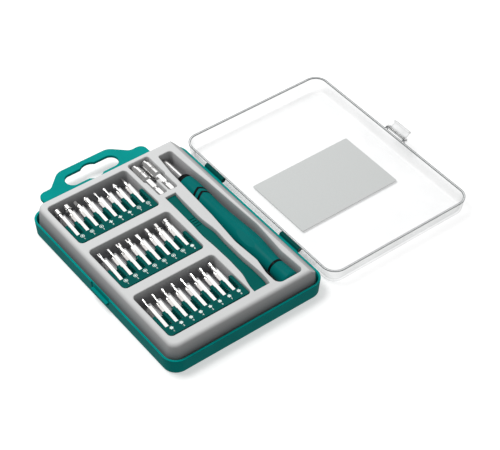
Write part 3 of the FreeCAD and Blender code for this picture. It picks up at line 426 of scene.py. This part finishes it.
def joined(pieces, name):
    """Join finished shapes into one piece with its place in its mesh."""
    bpy.ops.object.select_all(action="DESELECT")
    for piece in pieces:
        piece.select_set(True)
    bpy.context.view_layer.objects.active = pieces[0]
    bpy.ops.object.join()
    piece = bpy.context.active_object
    piece.name = name
    bpy.ops.object.transform_apply(location=True, rotation=True, scale=True)
    return piece


# ---- operators ----
class DRIVERSET_OT_case(bpy.types.Operator):
    """Finish the teal case base"""
    bl_idname = "driverset.case"
    bl_label = "Case base"

    def execute(self, context):
        colours = context.scene.driver_set_colours
        # Moulded polypropylene: satin, with a fine grain that softens the highlights.
        material, tree, surface, place = moulded_plastic(
            "polypropylene moulded teal", colours.case, linear(TEAL_DEEP),
            roughness=0.36, grain_mm=0.35, depth=0.2)
        # The hinge knuckles stand out past the wall, and their teal is darkened with painted shade.
        across = add_node(tree, "ShaderNodeSeparateXYZ", links={"Vector": place}).outputs["Y"]
        knuckle_painted_shade = add_node(
            tree, "ShaderNodeMapRange",
            {"From Min": KNUCKLE_START, "From Max": KNUCKLE_START + KNUCKLE_SHADE_FADE}, {"Value": across})
        # Painted shade: beyond the hinge wall the teal turns to the darker knuckle tone.
        between(tree, surface, knuckle_painted_shade, colour_of(surface), linear(TEAL_KNUCKLE_PAINTED_SHADE))
        give(material, "base_tray")
        return {"FINISHED"}


class DRIVERSET_OT_insert(bpy.types.Operator):
    """Finish the pale grey insert tray"""
    bl_idname = "driverset.insert"
    bl_label = "Insert tray"

    def execute(self, context):
        colours = context.scene.driver_set_colours
        # Moulded polystyrene with a matt grain; its grey is pale on its top and darkened with painted shade
        # down its walls and pockets.
        material, tree, surface, place = moulded_plastic(
            "polystyrene moulded grey", colours.insert, linear(GREY_INSERT_SHADE),
            roughness=0.5, grain_mm=0.3, depth=0.3, edge_mm=0.6)
        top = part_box("insert_tray")[1].z
        height = add_node(tree, "ShaderNodeSeparateXYZ", links={"Vector": place}).outputs["Z"]
        depth = add_node(
            tree, "ShaderNodeMapRange",
            {"From Min": top - INSERT_SHADE_END, "From Max": top - INSERT_SHADE_START,
             "To Min": 1.0, "To Max": 0.0},
            {"Value": height})
        # Painted shade: the grey deepens with depth below the top, in place of the shade that falls in the
        # pockets and down the walls.
        between(tree, surface, depth, colour_of(surface), linear(GREY_INSERT_PAINTED_SHADE))
        give(material, "insert_tray")
        return {"FINISHED"}


class DRIVERSET_OT_lid(bpy.types.Operator):
    """Finish the clear lid, its clip and pin, and the card that lies in it"""
    bl_idname = "driverset.lid"
    bl_label = "Lid"

    def execute(self, context):
        # Clear moulded polystyrene: it shows by its rim, along whose two edges grey lines of painted
        # reflection are drawn.
        lid, tree, surface, place, body = clear_plastic(
            "polystyrene moulded clear", roughness=0.08, faint=0.045, strong=0.34)
        rim_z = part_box("lid")[0].z + LID_DEPTH
        distance = outline_distance(tree, place, LID_HALF[0], LID_HALF[1], LID_CORNER, LID_MIDDLE_Y)
        outer = line_at(tree, distance, 0.0, OUTER_PAINTED_LINE)
        inner = line_at(tree, distance, -LID_WALL, INNER_PAINTED_LINE)
        either = add_node(tree, "ShaderNodeMath", {"operation": "MAXIMUM"}, {0: outer, 1: inner})
        height = add_node(tree, "ShaderNodeSeparateXYZ", links={"Vector": place}).outputs["Z"]
        at_rim = add_node(
            tree, "ShaderNodeMapRange", {"From Min": rim_z - LINE_END, "From Max": rim_z - LINE_FULL},
            {"Value": height})
        painted_rim_lines = add_node(tree, "ShaderNodeMath", {"operation": "MULTIPLY"}, {0: either, 1: at_rim})
        strongest = add_node(tree, "ShaderNodeMath", {"operation": "MAXIMUM"}, {0: body, 1: painted_rim_lines})
        tree.links.new(strongest.outputs[0], surface.inputs["Alpha"])
        # Painted reflection: the rim's lines are coloured grey and made nearly opaque.
        between(tree, surface, painted_rim_lines, linear(CLEAR_BODY), linear(CLEAR_GREY_AND_PAINTED_EDGE_REFLECTION))
        give(lid, "lid")

        # Clear polycarbonate: thicker and a little greyer than the lid.
        clip, tree, surface, place, body = clear_plastic(
            "polycarbonate moulded clear", roughness=0.1, faint=0.2, strong=0.8)
        tree.links.new(body.outputs[0], surface.inputs["Alpha"])
        between(tree, surface, patches(tree, place, 3), linear(CLEAR_BODY), linear(CLEAR_GREY_AND_PAINTED_EDGE_REFLECTION))
        give(clip, "latch_clip")

        wire = bare_metal(
            "drawn steel wire", linear(STEEL_DARK), linear(MAGNET_GREY), roughness=0.3, patch_mm=2.0)
        give(wire, "latch_pin", "cap_pivot")

        # Uncoated card: matt, with faint pulp fibres.
        card, tree, surface, place = new_material("uncoated card grey", {"Roughness": 0.8, "IOR": 1.4})
        between(tree, surface, patches(tree, place, 0.8), linear(CARD_GREY), linear(CARD_FLECK))
        pulp = add_node(
            tree, "ShaderNodeTexNoise", {"Scale": 1 / (0.8 * MM), "Detail": 4.0, "Roughness": 0.7},
            {"Vector": place})
        bump = add_node(tree, "ShaderNodeBump", {"Strength": 0.25, "Distance": 0.02 * MM}, {"Height": pulp})
        tree.links.new(bump.outputs[0], surface.inputs["Normal"])
        give(card, "label_card")
        return {"FINISHED"}


class DRIVERSET_OT_racks(bpy.types.Operator):
    """Finish the three bit racks"""
    bl_idname = "driverset.racks"
    bl_label = "Bit racks"

    def execute(self, context):
        colours = context.scene.driver_set_colours
        # Moulded polypropylene: a little glossier than the case, so the fingers' edges catch light.
        material = moulded_plastic(
            "polypropylene moulded rack teal", colours.rack, linear(TEAL_DEEP),
            roughness=0.3, grain_mm=0.3, depth=0.15, edge_mm=0.3)[0]
        give(material, *[f"bit_rack_{number}" for number in RACKS])
        return {"FINISHED"}


class DRIVERSET_OT_marks(bpy.types.Operator):
    """Print a drive symbol and a size digit beside each bit"""
    bl_idname = "driverset.marks"
    bl_label = "Rack marks"

    def execute(self, context):
        sizes = context.scene.driver_set_sizes
        # Pad-printed ink: matt and slightly uneven.
        ink, tree, surface, place = new_material("pad printed ink white", {"Roughness": 0.6})
        worn = patches(tree, place, 0.6, low=0.4, high=0.7, to_low=0.0, to_high=0.35)
        between(tree, surface, worn, tuple(context.scene.driver_set_colours.ink), linear(TEAL_RACK))
        for number in RACKS:
            pieces = []
            _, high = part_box(f"bit_rack_{number}")
            for index, bit in enumerate(BIT_NAMES[number - 1]):
                bit_low, bit_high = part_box(bit)
                y = (bit_low.y + bit_high.y) / 2
                at = (high.x - sizes.mark_from_back, y, high.z - sizes.mark_height * INK_OFFSET)
                pieces += drive_marks(bit, at, sizes.mark_radius, sizes.mark_height)
                digit_at = (high.x - sizes.digit_from_back, y, high.z + sizes.mark_height * INK_OFFSET)
                pieces.append(
                    digit_mark(digit_at, str(index + 1), sizes.digit_height, sizes.mark_height))
            marks = joined(pieces, f"rack_{number}_marks")
            marks.data.materials.clear()
            marks.data.materials.append(ink)
            for polygon in marks.data.polygons:
                polygon.material_index = 0
            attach(marks, f"rack_{number}")
        return {"FINISHED"}


def drive_marks(bit, at, radius, height):
    """The symbol of a bit's drive: what the end of its tip looks like."""
    if bit.startswith("cross"):
        return [cross_mark(at, radius, height)]
    if bit.startswith("star"):
        return [star_mark(at, radius * STAR_RADIUS, height, 6, STAR_6_DEPTH)]
    if bit.startswith("five"):
        return [star_mark(at, radius * STAR_RADIUS, height, 5, STAR_5_DEPTH)]
    ring = ring_mark(at, radius * RING_RADIUS, height)
    if bit.startswith(("hex", "nut")):
        return [ring, star_mark(at, radius * HEX_RADIUS, height, 3, 1.0)]
    if bit.startswith(("square", "triangle", "spear")):
        return [ring, star_mark(at, radius * INNER_RADIUS, height, 3, TRIANGLE_DEPTH)]
    return [ring, cross_mark(at, radius * INNER_RADIUS, height)]


class DRIVERSET_OT_bits(bpy.types.Operator):
    """Finish the bits"""
    bl_idname = "driverset.bits"
    bl_label = "Bits"

    def execute(self, context):
        # Hardened tool steel, satin nickel plated: bright, with soft reflections.
        material = bare_metal(
            "tool steel satin nickel", linear(STEEL_LIGHT), linear(STEEL_WORN), roughness=0.14, patch_mm=16.0)
        for row in BIT_NAMES:
            give(material, *row)
        return {"FINISHED"}


class DRIVERSET_OT_adapters(bpy.types.Operator):
    """Finish the two bit adapters with their rings and magnets"""
    bl_idname = "driverset.adapters"
    bl_label = "Adapters"

    def execute(self, context):
        # Polished nickel-chrome plate: clear mirror reflections. The driver's shaft has the same finish.
        chrome = bare_metal(
            "chrome plated steel", linear(CHROME), linear(STEEL_WORN), roughness=0.08, patch_mm=24.0)
        magnet = bare_metal(
            "nickel plated magnet", linear(MAGNET_GREY), linear(STEEL_DARK), roughness=0.3, patch_mm=1.0)
        for number in (1, 2):
            give(chrome, f"adapter_{number}_body", f"adapter_{number}_ring")
            give(magnet, f"adapter_{number}_magnet")
        give(chrome, "driver_shaft")
        give(magnet, "driver_magnet")
        return {"FINISHED"}


class DRIVERSET_OT_driver(bpy.types.Operator):
    """Finish the driver's grip, bands, collar and cap"""
    bl_idname = "driverset.driver"
    bl_label = "Driver"

    def execute(self, context):
        colours = context.scene.driver_set_colours
        # Moulded elastomer over ABS: soft sheen, broad highlights.
        grip = moulded_plastic(
            "elastomer moulded grip teal", colours.grip, linear(TEAL_DEEP),
            roughness=0.34, grain_mm=0.4, depth=0.2, edge_mm=0.4)[0]
        give(grip, "driver_grip", "swivel_cap")
        black = moulded_plastic(
            "ABS moulded black", linear(BLACK_ABS), linear(BLACK_WORN),
            roughness=0.32, grain_mm=0.35, depth=0.2)[0]
        give(black, "driver_collar", "grip_band_front", "grip_band_rear", "cap_ring")
        return {"FINISHED"}


class DRIVERSET_OT_pry(bpy.types.Operator):
    """Finish the pry tool"""
    bl_idname = "driverset.pry"
    bl_label = "Pry tool"

    def execute(self, context):
        colours = context.scene.driver_set_colours
        # Moulded polyamide: tough, satin, with a slightly coarser grain than the case.
        material = moulded_plastic(
            "polyamide moulded teal", colours.pry, linear(TEAL_DEEP),
            roughness=0.36, grain_mm=0.5, depth=0.3, edge_mm=0.5)[0]
        give(material, "pry_tool")
        return {"FINISHED"}


class DRIVERSET_OT_stage(bpy.types.Operator):
    """Set the floor, the soft studio light and the camera"""
    bl_idname = "driverset.stage"
    bl_label = "Stage"

    def execute(self, context):
        stage = context.scene.driver_set_stage
        bpy.ops.object.select_all(action="DESELECT")
        bpy.ops.mesh.primitive_grid_add(
            x_subdivisions=4, y_subdivisions=4, size=FLOOR_SIZE, location=(0, 0, -FLOOR_DROP))
        floor = start("floor")
        bpy.ops.object.transform_apply(location=True, rotation=True, scale=True)
        # Matt white acrylic of a light table: even, with only faint shadows.
        acrylic, tree, surface, place = new_material("acrylic opal white", {
            "Roughness": 0.9, "Specular IOR Level": 0.1,
            "Emission Color": (1.0, 1.0, 1.0, 1.0), "Emission Strength": stage.table_glow})
        between(tree, surface, patches(tree, place, 400), linear(FLOOR_WHITE), linear(FLOOR_SHADE))
        floor.data.materials.append(acrylic)
        # The set lies in soft shade from below, as on a table that throws no light back.
        floor.visible_diffuse = False
        floor.visible_glossy = False

        aim = Vector(stage.aim)
        add_light("key_light", Vector(stage.key_place), aim, stage.key_size, stage.key_power)
        add_light("window_light", Vector(stage.window_place), aim, stage.window_size, stage.window_power)
        add_camera(stage, aim)

        world = bpy.data.worlds.new("white surround")
        context.scene.world = world
        world.use_nodes = True
        background = world.node_tree.nodes["Background"]
        background.inputs["Color"].default_value = (1.0, 1.0, 1.0, 1.0)
        background.inputs["Strength"].default_value = stage.world_strength
        context.scene.view_settings.view_transform = "Standard"
        return {"FINISHED"}


def add_light(name, offset, aim, size, power):
    """Place a square light at an offset from the aim point, turned to face it."""
    bpy.ops.object.light_add(type="AREA", location=aim + offset)
    light = start(name)
    light.data.shape = "SQUARE"
    light.data.size = size
    light.data.energy = power
    light.rotation_euler = (-offset).to_track_quat("-Z", "Y").to_euler()


def add_camera(stage, aim):
    """Place the camera from its azimuth, elevation, roll and distance."""
    turn, rise = stage.azimuth, stage.elevation
    back = Vector((math.sin(turn) * math.cos(rise), -math.cos(turn) * math.cos(rise), math.sin(rise)))
    right = Vector((math.cos(turn), math.sin(turn), 0.0))
    up = back.cross(right)
    side = right * math.cos(stage.roll) + up * math.sin(stage.roll)
    top = up * math.cos(stage.roll) - right * math.sin(stage.roll)
    bpy.ops.object.camera_add()
    camera = start("camera")
    camera.data.lens = stage.lens
    camera.data.sensor_width = 36.0
    camera.data.sensor_fit = "HORIZONTAL"
    camera.data.clip_start = 0.05
    camera.data.clip_end = 20.0
    place = Matrix((side, top, back)).transposed().to_4x4()
    place.translation = back * stage.distance + aim
    camera.matrix_world = place
    bpy.context.scene.camera = camera


class DRIVERSET_PT_panel(bpy.types.Panel):
    """Sizes, colours and steps of the driver set"""
    bl_idname = "DRIVERSET_PT_panel"
    bl_label = "Driver Set"
    bl_space_type = "VIEW_3D"
    bl_region_type = "UI"
    bl_category = "Driver Set"

    def draw(self, context):
        layout = self.layout
        for group in ("driver_set_sizes", "driver_set_colours", "driver_set_stage"):
            box = layout.box()
            values = getattr(context.scene, group)
            for key in values.__annotations__:
                box.prop(values, key)
        for operator in OPERATORS:
            layout.operator(operator.bl_idname)


OPERATORS = (
    DRIVERSET_OT_case,
    DRIVERSET_OT_insert,
    DRIVERSET_OT_lid,
    DRIVERSET_OT_racks,
    DRIVERSET_OT_marks,
    DRIVERSET_OT_bits,
    DRIVERSET_OT_adapters,
    DRIVERSET_OT_driver,
    DRIVERSET_OT_pry,
    DRIVERSET_OT_stage,
)
CLASSES = (DriverSetSizes, DriverSetColours, DriverSetStage) + OPERATORS + (DRIVERSET_PT_panel,)


def register():
    for cls in CLASSES:
        bpy.utils.register_class(cls)
    bpy.types.Scene.driver_set_sizes = PointerProperty(type=DriverSetSizes)
    bpy.types.Scene.driver_set_colours = PointerProperty(type=DriverSetColours)
    bpy.types.Scene.driver_set_stage = PointerProperty(type=DriverSetStage)


def unregister():
    del bpy.types.Scene.driver_set_stage
    del bpy.types.Scene.driver_set_colours
    del bpy.types.Scene.driver_set_sizes
    for cls in reversed(CLASSES):
        bpy.utils.unregister_class(cls)


def main():
    register()
    for operator in OPERATORS:
        group, name = operator.bl_idname.split(".")
        getattr(getattr(bpy.ops, group), name)()


if __name__ == "__main__":
    main()
